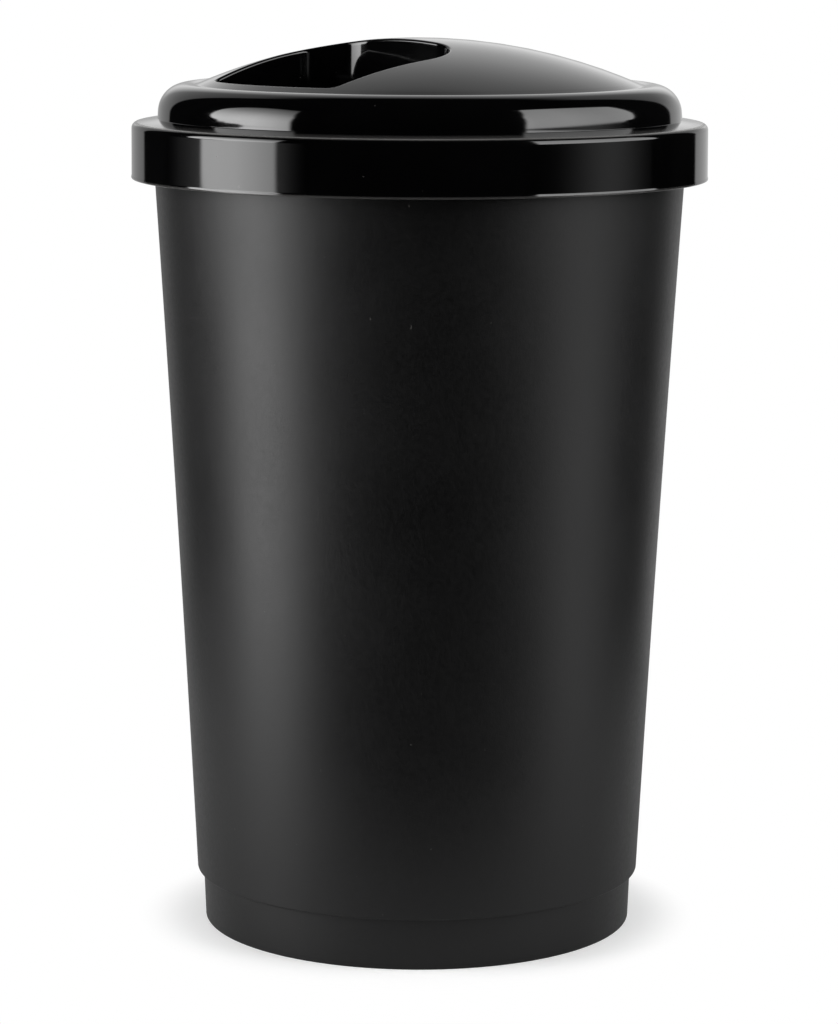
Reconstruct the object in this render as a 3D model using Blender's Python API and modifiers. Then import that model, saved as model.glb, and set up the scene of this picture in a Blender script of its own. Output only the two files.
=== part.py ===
"""Round waste bin with a lift-off lid that has one fixed throw-in opening.
Metres, +Z up, the floor at z = 0, the opening towards -Y."""

import math

import bmesh
import bpy

# Radius of the lid's band, from which the other radii follow inwards
BAND_RADIUS = 0.2000

# Bin body: one moulding, open at the top, on a stepped plinth
RIM_HEIGHT = 0.5657
MOUTH_INSET = 0.0134
WALL_TAPER = 0.0295
WALL_BOW = 0.0010
BODY_WALL = 0.0024
STEP_HEIGHT = 0.0362
STEP_WIDTH = 0.0043
PLINTH_TAPER = 0.0014
FOOT_WIDTH = 0.0036
FOOT_RECESS = 0.0070
FLOOR_THICKNESS = 0.0026
FLOOR_CORNER_RADIUS = 0.0050
FOOT_CORNER_RADIUS = 0.0014
STEP_CORNER_RADIUS = 0.0008
MOUTH_CORNER_RADIUS = 0.0008

# Rim: the flange that the lid sits on and its turned-down lip
RIM_LIP_DEPTH = 0.0160
RIM_CORNER_RADIUS = 0.0030
RIM_ROOT_RADIUS = 0.0020
GUSSET_COUNT = 12
GUSSET_THICKNESS = 0.0018
GUSSET_DEPTH = 0.0110

# Ribs under the floor
FLOOR_RIB_COUNT = 8
FLOOR_RIB_THICKNESS = 0.0020
FLOOR_RIB_DEPTH = 0.0045
HUB_RADIUS = 0.0200

# Lid: one moulding, heights counted up from the lower edge of its band
BAND_HEIGHT = 0.0380
BAND_FLARE = 0.0003
BAND_CORNER_RADIUS = 0.0042
BEAD_PROUD = 0.0004
BEAD_HEIGHT = 0.0022
LEDGE_WIDTH = 0.0179
LEDGE_RISE = 0.0036
SHOULDER_FOOT_FILLET = 0.0024
SHOULDER_DRAFT = 0.0026
SHOULDER_WIDTH = 0.0240
SHOULDER_HEIGHT = 0.0280
SHOULDER_ROUND_RADIUS = 0.0196
DOME_FOOT_DROP = 0.0055
DOME_FOOT_FILLET = 0.0040
DOME_RISE = 0.0324
LID_WALL = 0.0024

# Opening in the dome, seen from above: u runs outwards from the lid's axis, w across
OPENING_INNER_EDGE = 0.0170
OPENING_HALF_WIDTH = 0.0725
OPENING_SIDE_TAPER_DEGREES = 7.0
OPENING_CORNER_RADIUS = 0.0367
OPENING_MARGIN = 0.0108
OPENING_OUTER_CORNER_RADIUS = 0.0097

# Collar that hangs from the opening's edge, and the rounded lip at its top
COLLAR_WALL = 0.0022
COLLAR_BOTTOM = 0.0290
COLLAR_DRAFT_DEGREES = 3.0
LIP_ROUNDING = 0.0020
LIP_TURN_DEGREES = 50.0

# Fits
SEAT_GAP = 0.0003
SKIRT_CLEARANCE = 0.0012
EMBED = 0.0010
CUT_OVERRUN = 0.0015
AXIS_MERGE = 0.00001

# Fineness: how far a fillet's facet may lie inside its arc, and counts
FACET_SAG = 0.00025
TURN_STEP_COUNT = 72
WALL_SEGMENT_COUNT = 5
DOME_SEGMENT_COUNT = 7
LIP_RING_COUNT = 2
EDGE_PIECE_COUNT = 3
CORNER_POINT_COUNT = 8
OUTER_CORNER_POINT_COUNT = 4
OUTER_ARC_POINT_COUNT = 10


# Flat geometry


def arc(centre, radius, start, end, count):
    """Points of an arc from the angle start to the angle end, both included."""
    angles = [start + (end - start) * i / (count - 1) for i in range(count)]
    return [(centre[0] + radius * math.cos(a), centre[1] + radius * math.sin(a)) for a in angles]


def between(start, end):
    """Points that split a straight edge of the opening into equal pieces, without its ends."""
    shares = [i / EDGE_PIECE_COUNT for i in range(1, EDGE_PIECE_COUNT)]
    return [(start[0] + (end[0] - start[0]) * s, start[1] + (end[1] - start[1]) * s) for s in shares]


def rounded(corners):
    """The polyline through (x, z, radius) corners, with each corner that has a radius turned into an arc.
    An arc is never longer than the lines that it joins allow."""
    points = [corners[0][:2]]
    used = 0
    for before, (x, z, radius), after in zip(corners, corners[1:], corners[2:]):
        back = math.atan2(before[1] - z, before[0] - x)
        ahead = math.atan2(after[1] - z, after[0] - x)
        opening = (ahead - back + math.pi) % (2 * math.pi) - math.pi
        half = abs(opening) / 2
        room = min(math.dist(before[:2], (x, z)) - used, math.dist(after[:2], (x, z)))
        radius = min(radius, room * math.tan(half))
        used = radius / math.tan(half)
        if not radius:
            points.append((x, z))
            continue
        middle = back + opening / 2
        reach = radius / math.sin(half)
        centre = (x + reach * math.cos(middle), z + reach * math.sin(middle))
        turn = math.copysign(math.pi - abs(opening), -opening)
        start = back + math.copysign(math.pi / 2, -opening)
        facet_turn = 2 * math.acos(max(1 - FACET_SAG / radius, 0))
        points += arc(centre, radius, start, start + turn, 1 + math.ceil(abs(turn) / facet_turn))
    return points + [corners[-1][:2]]


def offset_inwards(points, wall):
    """The parallel line one wall to the right of a line that starts flat at the axis and ends straight down."""
    moved = []
    for i, (x, z) in enumerate(points):
        before = points[max(i - 1, 0)]
        after = points[min(i + 1, len(points) - 1)]
        into = math.atan2(z - before[1], x - before[0]) if i else 0
        out = math.atan2(after[1] - z, after[0] - x) if i < len(points) - 1 else into
        middle = (into + out) / 2 - math.pi / 2
        reach = wall / math.cos((out - into) / 2)
        moved.append((max(x + reach * math.cos(middle), 0), z + reach * math.sin(middle)))
    return moved


# Sizes that follow from the driving ones


mouth_wall_radius = BAND_RADIUS - MOUTH_INSET
step_wall_radius = mouth_wall_radius - WALL_TAPER
plinth_top_radius = step_wall_radius - STEP_WIDTH
plinth_base_radius = plinth_top_radius - PLINTH_TAPER
shoulder_foot_radius = BAND_RADIUS - LEDGE_WIDTH
shoulder_radius = shoulder_foot_radius - SHOULDER_DRAFT
dome_foot_radius = shoulder_radius - SHOULDER_WIDTH
opening_outer_radius = dome_foot_radius - OPENING_MARGIN


def wall_radius(height):
    """Outer radius of the bin's wall, which bows inwards a little between the step and the rim."""
    share = (height - STEP_HEIGHT) / (RIM_HEIGHT - STEP_HEIGHT)
    straight = step_wall_radius + (mouth_wall_radius - step_wall_radius) * share
    return straight - WALL_BOW * 4 * share * (1 - share)


ledge_angle = math.atan2(LEDGE_RISE, BAND_RADIUS - shoulder_foot_radius)
mouth_radius = mouth_wall_radius - BODY_WALL
rim_lip_radius = BAND_RADIUS - LID_WALL - SKIRT_CLEARANCE
floor_top = FOOT_RECESS + FLOOR_THICKNESS


def rim_top(radius):
    """Height of the rim's flange, which falls outwards as the lid's ledge does."""
    return RIM_HEIGHT - (radius - mouth_radius) * math.tan(ledge_angle)


def ledge_top(radius):
    """Height of the ledge's line over the band's lower edge."""
    return BAND_HEIGHT + (BAND_RADIUS - radius) * math.tan(ledge_angle)


ledge_underside = ledge_top(mouth_radius) - LID_WALL / math.cos(ledge_angle)
lid_height = RIM_HEIGHT + SEAT_GAP / math.cos(ledge_angle) - ledge_underside
shoulder_corner = BAND_HEIGHT + LEDGE_RISE + SHOULDER_HEIGHT
dome_foot = shoulder_corner - DOME_FOOT_DROP
dome_top = dome_foot + DOME_RISE
dome_radius = (dome_foot_radius**2 + DOME_RISE**2) / (2 * DOME_RISE)


def dome_height(radius):
    """Height of the dome's skin over the band's lower edge."""
    return dome_top - dome_radius + math.sqrt(dome_radius**2 - radius**2)


# Blender objects


def clear_scene():
    for old in list(bpy.data.objects):
        bpy.data.objects.remove(old)


def collection_named(name):
    collection = bpy.data.collections.new(name)
    bpy.context.scene.collection.children.link(collection)
    return collection


def object_from(name, vertices, edges, faces, collection):
    mesh = bpy.data.meshes.new(name)
    mesh.from_pydata(vertices, edges, faces)
    made = bpy.data.objects.new(name, mesh)
    collection.objects.link(made)
    return made


def turned(name, profile, collection):
    """A closed solid turned round Z from a profile that starts and ends on the axis."""
    vertices = [(x, 0, z) for x, z in profile]
    edges = [(i, i + 1) for i in range(len(profile) - 1)]
    solid = object_from(name, vertices, edges, [], collection)
    screw = solid.modifiers.new("turn", "SCREW")
    screw.steps = TURN_STEP_COUNT
    screw.render_steps = TURN_STEP_COUNT
    screw.use_merge_vertices = True
    screw.merge_threshold = AXIS_MERGE
    screw.use_smooth_shade = True
    return solid


def lofted(name, rings, collection):
    """A closed solid through rings of points with one count, closed by a fan at each end."""
    count = len(rings[0])
    centres = [[sum(p[axis] for p in ring) / count for axis in range(3)] for ring in (rings[0], rings[-1])]
    vertices = [point for ring in rings for point in ring] + centres
    faces = []
    for row in range(len(rings) - 1):
        for i in range(count):
            j = (i + 1) % count
            faces.append((row * count + i, row * count + j, (row + 1) * count + j, (row + 1) * count + i))
    last = (len(rings) - 1) * count
    low, high = len(vertices) - 2, len(vertices) - 1
    for i in range(count):
        j = (i + 1) % count
        faces += [(low, j, i), (high, last + i, last + j)]
    solid = object_from(name, vertices, [], faces, collection)
    facing_out(solid)
    return solid


def facing_out(solid):
    work = bmesh.new()
    work.from_mesh(solid.data)
    bmesh.ops.recalc_face_normals(work, faces=work.faces)
    work.to_mesh(solid.data)
    work.free()


def box(name, low, high, turn, collection):
    """A box between two corners, turned about Z by an angle."""
    middle = [(a + b) / 2 for a, b in zip(low, high)]
    sides = [b - a for a, b in zip(low, high)]
    work = bmesh.new()
    bmesh.ops.create_cube(work, size=1)
    for vertex in work.verts:
        vertex.co = [m + s * c for m, s, c in zip(middle, sides, vertex.co)]
    mesh = bpy.data.meshes.new(name)
    work.to_mesh(mesh)
    work.free()
    made = bpy.data.objects.new(name, mesh)
    made.rotation_euler.z = turn
    collection.objects.link(made)
    return made


def hide_helpers(collection):
    for helper in collection.objects:
        helper.hide_render = True
        helper.display_type = "WIRE"


def combine(target, operation, helpers):
    """A Boolean of the target with every solid of a helper collection."""
    modifier = target.modifiers.new(operation.lower(), "BOOLEAN")
    modifier.operation = operation
    modifier.operand_type = "COLLECTION"
    modifier.collection = helpers
    modifier.solver = "EXACT"


def plastic(name, colour, roughness):
    material = bpy.data.materials.new(name)
    material.use_nodes = True
    shader = material.node_tree.nodes["Principled BSDF"]
    shader.inputs["Base Color"].default_value = (*colour, 1)
    shader.inputs["Roughness"].default_value = roughness
    shader.inputs["Metallic"].default_value = 0
    return material


# Bin body


def body_profile():
    """From the floor's centre up the inside, over the rim, down the outside and under the foot."""
    inner_step = STEP_HEIGHT + BODY_WALL
    plinth_inner = plinth_top_radius - BODY_WALL
    foot_inner = plinth_base_radius - FOOT_WIDTH
    lip_bottom = rim_top(rim_lip_radius) - RIM_LIP_DEPTH
    lip_inner = rim_lip_radius - BODY_WALL
    flange_under = BODY_WALL / math.cos(ledge_angle)
    root_height = rim_top(mouth_wall_radius) - flange_under
    wall_segment = (root_height - inner_step) / WALL_SEGMENT_COUNT
    heights = [inner_step + wall_segment * i for i in range(1, WALL_SEGMENT_COUNT)]
    corners = [
        (0, floor_top, 0),
        (plinth_base_radius - BODY_WALL, floor_top, FLOOR_CORNER_RADIUS),
        (plinth_inner, inner_step, STEP_CORNER_RADIUS),
        (wall_radius(inner_step) - BODY_WALL, inner_step, STEP_CORNER_RADIUS),
        *[(wall_radius(z) - BODY_WALL, z, 0) for z in heights],
        (mouth_radius, RIM_HEIGHT, MOUTH_CORNER_RADIUS),
        (rim_lip_radius, rim_top(rim_lip_radius), RIM_CORNER_RADIUS),
        (rim_lip_radius, lip_bottom, STEP_CORNER_RADIUS),
        (lip_inner, lip_bottom, STEP_CORNER_RADIUS),
        (lip_inner, rim_top(lip_inner) - flange_under, STEP_CORNER_RADIUS),
        (wall_radius(root_height), root_height, RIM_ROOT_RADIUS),
        *[(wall_radius(z), z, 0) for z in reversed(heights)],
        (step_wall_radius, STEP_HEIGHT, STEP_CORNER_RADIUS),
        (plinth_top_radius, STEP_HEIGHT, STEP_CORNER_RADIUS),
        (plinth_base_radius, 0, FOOT_CORNER_RADIUS),
        (foot_inner, 0, STEP_CORNER_RADIUS),
        (foot_inner, FOOT_RECESS, STEP_CORNER_RADIUS),
        (0, FOOT_RECESS, 0),
    ]
    return rounded(corners)


def gusset_section(radius, low):
    """A gusset's upright section at a radius. Its top lies within the flange, which falls outwards."""
    half = GUSSET_THICKNESS / 2
    high = rim_top(radius) - BODY_WALL / 2
    return [(radius, -half, low), (radius, half, low), (radius, half, high), (radius, -half, high)]


def body_ribs(helpers):
    """Radial ribs and a hub under the floor, and gussets between the wall and the rim's lip."""
    rib_low = FOOT_RECESS - FLOOR_RIB_DEPTH
    rib_high = FOOT_RECESS + EMBED
    rib_end = plinth_base_radius - FOOT_WIDTH + EMBED
    for i in range(FLOOR_RIB_COUNT):
        low = (HUB_RADIUS - EMBED, -FLOOR_RIB_THICKNESS / 2, rib_low)
        high = (rib_end, FLOOR_RIB_THICKNESS / 2, rib_high)
        box(f"floor_rib_{i}", low, high, 2 * math.pi * i / FLOOR_RIB_COUNT, helpers)
    hub = [(0, rib_high), (HUB_RADIUS, rib_high), (HUB_RADIUS, rib_low), (0, rib_low)]
    turned("floor_hub", hub, helpers)
    gusset_high = rim_top(rim_lip_radius) - BODY_WALL
    ends = (wall_radius(gusset_high) - EMBED, rim_lip_radius - BODY_WALL + EMBED)
    sections = [gusset_section(radius, gusset_high - GUSSET_DEPTH) for radius in ends]
    for i in range(GUSSET_COUNT):
        gusset = lofted(f"rim_gusset_{i}", sections, helpers)
        gusset.rotation_euler.z = 2 * math.pi * (i + 1 / 2) / GUSSET_COUNT


def make_body(parts):
    helpers = collection_named("body_joins")
    body = turned("bin_body", body_profile(), parts)
    body_ribs(helpers)
    hide_helpers(helpers)
    combine(body, "UNION", helpers)
    body.data.materials.append(plastic("body_matte", (0.016, 0.016, 0.017), 0.55))
    return body


# Lid


def lid_profile():
    """From the dome's top down the outside to the band's lower edge, and back up the inside."""
    dome = [dome_foot_radius * i / DOME_SEGMENT_COUNT for i in range(DOME_SEGMENT_COUNT)]
    band_foot = BAND_RADIUS + BAND_FLARE
    corners = [
        *[(radius, dome_height(radius), 0) for radius in dome],
        (dome_foot_radius, dome_foot, DOME_FOOT_FILLET),
        (shoulder_radius, shoulder_corner, SHOULDER_ROUND_RADIUS),
        (shoulder_foot_radius, BAND_HEIGHT + LEDGE_RISE, SHOULDER_FOOT_FILLET),
        (BAND_RADIUS, BAND_HEIGHT, BAND_CORNER_RADIUS),
        (band_foot, 0, 0),
    ]
    outside = rounded(corners)
    inside = offset_inwards(outside, LID_WALL)
    bead = band_foot + BEAD_PROUD
    edge = [
        (band_foot, BEAD_HEIGHT + BEAD_PROUD),
        (bead, BEAD_HEIGHT),
        (bead, BEAD_PROUD),
        (band_foot, 0),
        (inside[-1][0], 0),
    ]
    return outside[:-1] + edge + inside[-2::-1]


def opening_outline(inset):
    """Half a disc seen from above, as (u, w): a straight inner edge, tapering sides and an outer edge round the
    lid's axis. The inset moves every edge inwards by the same distance."""
    taper = math.radians(OPENING_SIDE_TAPER_DEGREES)
    corner = OPENING_CORNER_RADIUS - inset
    outer_corner = OPENING_OUTER_CORNER_RADIUS - inset
    outer = opening_outer_radius - inset
    side_angle = math.pi / 2 - taper
    across = OPENING_HALF_WIDTH - OPENING_CORNER_RADIUS
    corner_centre = (OPENING_INNER_EDGE + OPENING_CORNER_RADIUS, across)
    # The outer corner touches the side and the outer circle from within
    along = (math.cos(-taper), math.sin(-taper))
    normal = (math.cos(side_angle), math.sin(side_angle))
    shift = corner - outer_corner
    start = (corner_centre[0] + shift * normal[0], corner_centre[1] + shift * normal[1])
    ahead = start[0] * along[0] + start[1] * along[1]
    squared = start[0] ** 2 + start[1] ** 2
    run = -ahead + math.sqrt(ahead**2 - squared + (outer - outer_corner) ** 2)
    outer_centre = (start[0] + run * along[0], start[1] + run * along[1])
    outer_angle = math.atan2(outer_centre[1], outer_centre[0])
    large = arc(corner_centre, corner, math.pi, side_angle, CORNER_POINT_COUNT)
    small = arc(outer_centre, outer_corner, side_angle, outer_angle, OUTER_CORNER_POINT_COUNT)
    half = large + between(large[-1], small[0]) + small
    half += arc((0, 0), outer, outer_angle, 0, OUTER_ARC_POINT_COUNT)[1:]
    mirrored = [(u, -w) for u, w in reversed(half[:-1])]
    return half + mirrored + between(mirrored[-1], half[0])


def opening_ring(inset, height):
    """The outline at one inset, lifted by a function of the radius from the lid's axis."""
    return [(w, -u, height(math.hypot(u, w))) for u, w in opening_outline(inset)]


def collar_inset(height):
    """How far the collar's wall has drawn in at a height, counted from the dome's foot."""
    return (dome_foot - height) * math.tan(math.radians(COLLAR_DRAFT_DEGREES))


def collar_plug(helpers):
    """The collar as a solid, from its lower edge into the thickness of the dome."""
    low = opening_ring(collar_inset(COLLAR_BOTTOM) - COLLAR_WALL, lambda radius: COLLAR_BOTTOM)
    middle = opening_ring(-COLLAR_WALL, lambda radius: dome_foot)
    high = opening_ring(-COLLAR_WALL, lambda radius: dome_height(radius) - LID_WALL / 2)
    return lofted("collar_plug", [low, middle, high], helpers)


def throat(helpers):
    """The way through the collar, which widens at the top by a rounded lip."""
    below = COLLAR_BOTTOM - CUT_OVERRUN
    rings = [opening_ring(collar_inset(below), lambda radius: below)]
    rings.append(opening_ring(0, lambda radius: dome_foot - LIP_ROUNDING))
    for i in range(LIP_RING_COUNT + 1):
        angle = math.radians(LIP_TURN_DEGREES) * i / LIP_RING_COUNT
        drop = LIP_ROUNDING * (1 - math.sin(angle))
        widening = LIP_ROUNDING * (1 - math.cos(angle))
        rings.append(opening_ring(-widening, lambda radius, drop=drop: dome_height(radius) - drop))
    over = LIP_ROUNDING + CUT_OVERRUN
    rings.append(opening_ring(-over, lambda radius: dome_height(radius) + CUT_OVERRUN))
    rings.append(opening_ring(-over, lambda radius: dome_top + CUT_OVERRUN))
    return lofted("throat", rings, helpers)


def make_lid(parts):
    joins = collection_named("lid_joins")
    cuts = collection_named("lid_cuts")
    lid = turned("lid", lid_profile(), parts)
    lid.location.z = lid_height
    for helper in (collar_plug(joins), throat(cuts)):
        helper.location.z = lid_height
    for helpers in (joins, cuts):
        hide_helpers(helpers)
    combine(lid, "UNION", joins)
    combine(lid, "DIFFERENCE", cuts)
    lid.data.materials.append(plastic("lid_gloss", (0.006, 0.006, 0.0065), 0.08))
    return lid


clear_scene()
assembly = collection_named("waste_bin")
make_body(assembly)
make_lid(assembly)
print(f"lid's band starts {lid_height * 1000:.1f} mm up, top {(lid_height + dome_top) * 1000:.1f} mm up")
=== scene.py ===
"""Round waste bin: a black bin of finely textured plastic on a stepped plinth, under a lift-off domed lid
of polished black plastic with one fixed throw-in opening. Metres, +Z up, the opening towards -Y."""

import math

import bpy
import numpy as np
from mathutils import Matrix


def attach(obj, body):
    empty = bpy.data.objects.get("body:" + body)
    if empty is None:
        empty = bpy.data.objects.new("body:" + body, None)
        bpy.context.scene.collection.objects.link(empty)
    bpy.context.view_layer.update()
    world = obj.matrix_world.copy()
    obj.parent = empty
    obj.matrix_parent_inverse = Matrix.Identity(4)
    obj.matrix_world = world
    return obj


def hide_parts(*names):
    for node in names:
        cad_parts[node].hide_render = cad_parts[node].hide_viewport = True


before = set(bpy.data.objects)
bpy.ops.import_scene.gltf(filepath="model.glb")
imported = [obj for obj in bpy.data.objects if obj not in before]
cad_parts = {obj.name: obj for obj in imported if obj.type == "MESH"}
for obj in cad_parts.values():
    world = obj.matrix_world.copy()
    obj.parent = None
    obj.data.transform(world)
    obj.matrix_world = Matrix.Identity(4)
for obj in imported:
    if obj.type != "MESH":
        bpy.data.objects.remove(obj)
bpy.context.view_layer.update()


# The camera
# It stands two and a half metres off, a little above the lid, and looks down on the bin from its right front.

CAMERA_AZIMUTH = math.radians(49.0)
CAMERA_DISTANCE = 2.54785
CAMERA_HEIGHT = 0.71124
CAMERA_ASIDE = 0.00048
CAMERA_PITCH = 0.16359
CAMERA_ROLL = 0.0040
CAMERA_RANGE = 20
FOCAL_PIXELS = 3648.78
PHOTO_HEIGHT_PIXELS = 1024
SENSOR_MILLIMETRES = 36
TO_THE_CAMERA = (math.sin(CAMERA_AZIMUTH), -math.cos(CAMERA_AZIMUTH), 0)
FROM_THE_CAMERA = (-math.sin(CAMERA_AZIMUTH), math.cos(CAMERA_AZIMUTH), 0)
TO_ITS_RIGHT = (math.cos(CAMERA_AZIMUTH), math.sin(CAMERA_AZIMUTH), 0)

camera = bpy.data.objects.new("camera", bpy.data.cameras.new("camera"))
bpy.context.scene.collection.objects.link(camera)
camera.data.sensor_width = SENSOR_MILLIMETRES
camera.data.lens = FOCAL_PIXELS / PHOTO_HEIGHT_PIXELS * SENSOR_MILLIMETRES
camera.data.clip_end = CAMERA_RANGE
round_the_bin = Matrix.Rotation(CAMERA_AZIMUTH, 4, "Z")
tilt = Matrix.Rotation(math.pi / 2 - CAMERA_PITCH, 4, "X") @ Matrix.Rotation(CAMERA_ROLL, 4, "Z")
stand = Matrix.Translation((CAMERA_ASIDE, -CAMERA_DISTANCE, CAMERA_HEIGHT))
camera.matrix_world = round_the_bin @ stand @ tilt
bpy.context.scene.camera = camera


# The bin
# One injection moulding in polypropylene: a tapered wall that bows in slightly, a stepped plinth with a
# recessed floor, and a flange with a turned-down lip at the mouth, which the lid covers.

RIM_HEIGHT = 0.5653
MOUTH_WALL_RADIUS = 0.1866
STEP_WALL_RADIUS = 0.1571
WALL_BOW = 0.0010
BODY_WALL = 0.0024
FLANGE_WALL = 0.0025
LEDGE_FALL = 0.0031
LEDGE_WIDTH = 0.0179
LEDGE_SLOPE = LEDGE_FALL / LEDGE_WIDTH
RIM_LIP_RADIUS = 0.1964
RIM_LIP_DEPTH = 0.0160
STEP_HEIGHT = 0.0362
PLINTH_TOP_RADIUS = 0.1528
PLINTH_BASE_RADIUS = 0.1514
FOOT_WIDTH = 0.0036
FOOT_RECESS = 0.0070
FLOOR_TOP = 0.0096

FLOOR_FILLET = 0.0050
INNER_STEP_FILLET = 0.0012
MOUTH_FILLET = 0.0008
RIM_FILLET = 0.0030
LIP_EDGE_FILLET = 0.0009
LIP_ROOT_FILLET = 0.0010
FLANGE_ROOT_FILLET = 0.0020
STEP_FILLET = 0.0010
PLINTH_TOP_FILLET = 0.0007
FOOT_OUTER_FILLET = 0.0014
FOOT_INNER_FILLET = 0.0010
RECESS_FILLET = 0.0008

WALL_ROWS = 26
LONGEST_WALL_STEP = 0.024
BIN_FILLET_TURN = math.radians(14)
BIN_COLUMNS = 360

BIN_REFRACTION = 1.43
BIN_DARK = (0.0024, 0.0024, 0.0025, 1)
BIN_LIGHT = (0.0052, 0.0052, 0.0054, 1)
BIN_DUST = (0.060, 0.058, 0.055, 1)


def rounded_line(corners, turn, finest=0.00001):
    """The line through corners (r, z, fillet). Each fillet is an arc whose points are the centre plus a mix of
    the two tangent points' arms, sin((1 - t) sweep) and sin(t sweep) over sin(sweep), a turn apart or, in
    the smallest fillets, a finest step."""
    corners = np.array(corners, float)
    runs = [corners[:1, :2]]
    for before, corner, after in zip(corners, corners[1:], corners[2:]):
        place, fillet = corner[:2], corner[2]
        if fillet == 0:
            runs.append(place[None])
            continue
        back = (before[:2] - place) / np.linalg.norm(before[:2] - place)
        ahead = (after[:2] - place) / np.linalg.norm(after[:2] - place)
        half = math.acos(back @ ahead) / 2
        middle = (back + ahead) / np.linalg.norm(back + ahead)
        centre = place + middle * fillet / math.sin(half)
        first = place + back * fillet / math.tan(half) - centre
        last = place + ahead * fillet / math.tan(half) - centre
        sweep = math.pi - 2 * half
        t = np.linspace(0, 1, 3 + int(min(sweep / turn, fillet * sweep / finest)))[:, None]
        runs.append(centre + (np.sin((1 - t) * sweep) * first + np.sin(t * sweep) * last) / math.sin(sweep))
    return np.concatenate(runs + [corners[-1:, :2]])


def subdivided(line, longest, guard=0.0005, least_bend=math.radians(0.5)):
    """The same line with more points: a straight run gets one a guard's length in from each end that bends,
    which keeps the shading of a fillet off the flat beside it, and even steps no longer than the given length."""
    ways = np.diff(line, axis=0)
    bearings = np.unwrap(np.arctan2(ways[:, 1], ways[:, 0]))
    bent = np.concatenate([[True], np.abs(np.diff(bearings)) > least_bend, [True]])
    runs = []
    for start, way, bent_here, bent_ahead in zip(line, ways, bent, bent[1:]):
        length = np.linalg.norm(way)
        shares = [0.0]
        if length > 4 * guard:
            first = guard / length if bent_here else 0.0
            last = 1 - guard / length if bent_ahead else 1.0
            steps = max(1, math.ceil((last - first) * length / longest))
            shares += [share for share in np.linspace(first, last, steps + 1) if 0 < share < 1]
        runs.append(start + np.array(shares)[:, None] * way)
    return np.concatenate(runs + [line[-1:]])


def turned_points(line, angles):
    """The line's point (r, z) goes to (r cos a, r sin a, z) at every angle a."""
    r, z = line[:, :1], line[:, 1:]
    return np.stack([r * np.cos(angles), r * np.sin(angles), z + 0 * angles], -1)


def full_turn(columns):
    """Even angles round a circle, without the last, which is the first again."""
    return np.linspace(0, 2 * math.pi, columns, endpoint=False)


def grid_faces(rows, columns, closed):
    """Quads between neighbouring rows, round all columns. Row times column order turns them outwards where
    the rows go outwards and the columns anticlockwise. A closed grid also joins its last row to its first."""
    row = np.arange(rows if closed else rows - 1)[:, None]
    column = np.arange(columns)
    after, beside = (row + 1) % rows, (column + 1) % columns
    corners = [row * columns + column, after * columns + column, after * columns + beside, row * columns + beside]
    return np.stack(corners, -1).reshape(-1, 4)


def fan(middle, ring):
    """Triangles from a middle point to every two neighbours in a ring of points."""
    return np.stack([middle + 0 * ring, ring, np.roll(ring, -1)], -1)


def smooth_piece(name, points, faces, body, material):
    """A smooth-shaded mesh object at the origin, which rides on a body and has the finish of a slot."""
    mesh = bpy.data.meshes.new(name)
    mesh.from_pydata(points.reshape(-1, 3).tolist(), [], faces)
    mesh.polygons.foreach_set("use_smooth", np.ones(len(mesh.polygons), bool))
    mesh.materials.append(material)
    piece = bpy.data.objects.new(name, mesh)
    bpy.context.scene.collection.objects.link(piece)
    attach(piece, body)
    return piece


def fed(tree, node, inputs):
    """The node with its inputs set, by name or number. A number, vector or colour is written on the socket, and
    the output of another node is linked to it."""
    for key, value in inputs.items():
        if isinstance(value, bpy.types.NodeSocket):
            tree.links.new(value, node.inputs[key])
        else:
            node.inputs[key].default_value = value
    return node


def maths(tree, operation, first, *others):
    """One maths node for each further value: the first with the second, the result with the third, and so on."""
    for other in others:
        node = tree.nodes.new("ShaderNodeMath")
        node.operation = operation
        first = fed(tree, node, {0: first, 1: other}).outputs["Value"]
    return first


def ramp(tree, value, low, high, to_low=0.0, to_high=1.0, kind="LINEAR"):
    """The value's way from low to high spread from to_low to to_high, and level beyond both ends."""
    node = tree.nodes.new("ShaderNodeMapRange")
    node.interpolation_type = kind
    ends = {"Value": value, "From Min": low, "From Max": high, "To Min": to_low, "To Max": to_high}
    return fed(tree, node, ends).outputs["Result"]


def noise(tree, place, per_metre, detail, roughness=0.5):
    """Values that vary about a half, in lumps of so many to the metre."""
    node = tree.nodes.new("ShaderNodeTexNoise")
    inputs = {"Vector": place, "Scale": per_metre, "Detail": detail, "Roughness": roughness}
    return fed(tree, node, inputs).outputs["Fac"]


def mixed(tree, share, first, second):
    """The first colour, going over to the second by a share."""
    node = tree.nodes.new("ShaderNodeMix")
    node.data_type = "RGBA"
    return fed(tree, node, {"Factor": share, "A": first, "B": second}).outputs["Result"]


def bump(tree, inputs):
    """A normal tilted by a height."""
    return fed(tree, tree.nodes.new("ShaderNodeBump"), inputs).outputs["Normal"]


def plastic(name, refraction):
    """A new material with its node tree, its shader and the place on the piece that its patterns go by."""
    material = bpy.data.materials.new(name)
    material.use_nodes = True
    tree = material.node_tree
    shader = fed(tree, tree.nodes["Principled BSDF"], {"IOR": refraction})
    return material, tree, shader, tree.nodes.new("ShaderNodeTexCoord").outputs["Object"]


def bin_wall(height):
    """Outer radius: a straight taper less a bow that is 4 s (1 - s) of its depth, s being the share of the
    height over the step."""
    share = (height - STEP_HEIGHT) / (RIM_HEIGHT - STEP_HEIGHT)
    taper = STEP_WALL_RADIUS + (MOUTH_WALL_RADIUS - STEP_WALL_RADIUS) * share
    return taper - WALL_BOW * 4 * share * (1 - share)


def rim_top(radius):
    """The flange falls outwards at the slope of the lid's ledge."""
    return RIM_HEIGHT - (radius - MOUTH_WALL_RADIUS + BODY_WALL) * LEDGE_SLOPE


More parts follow.
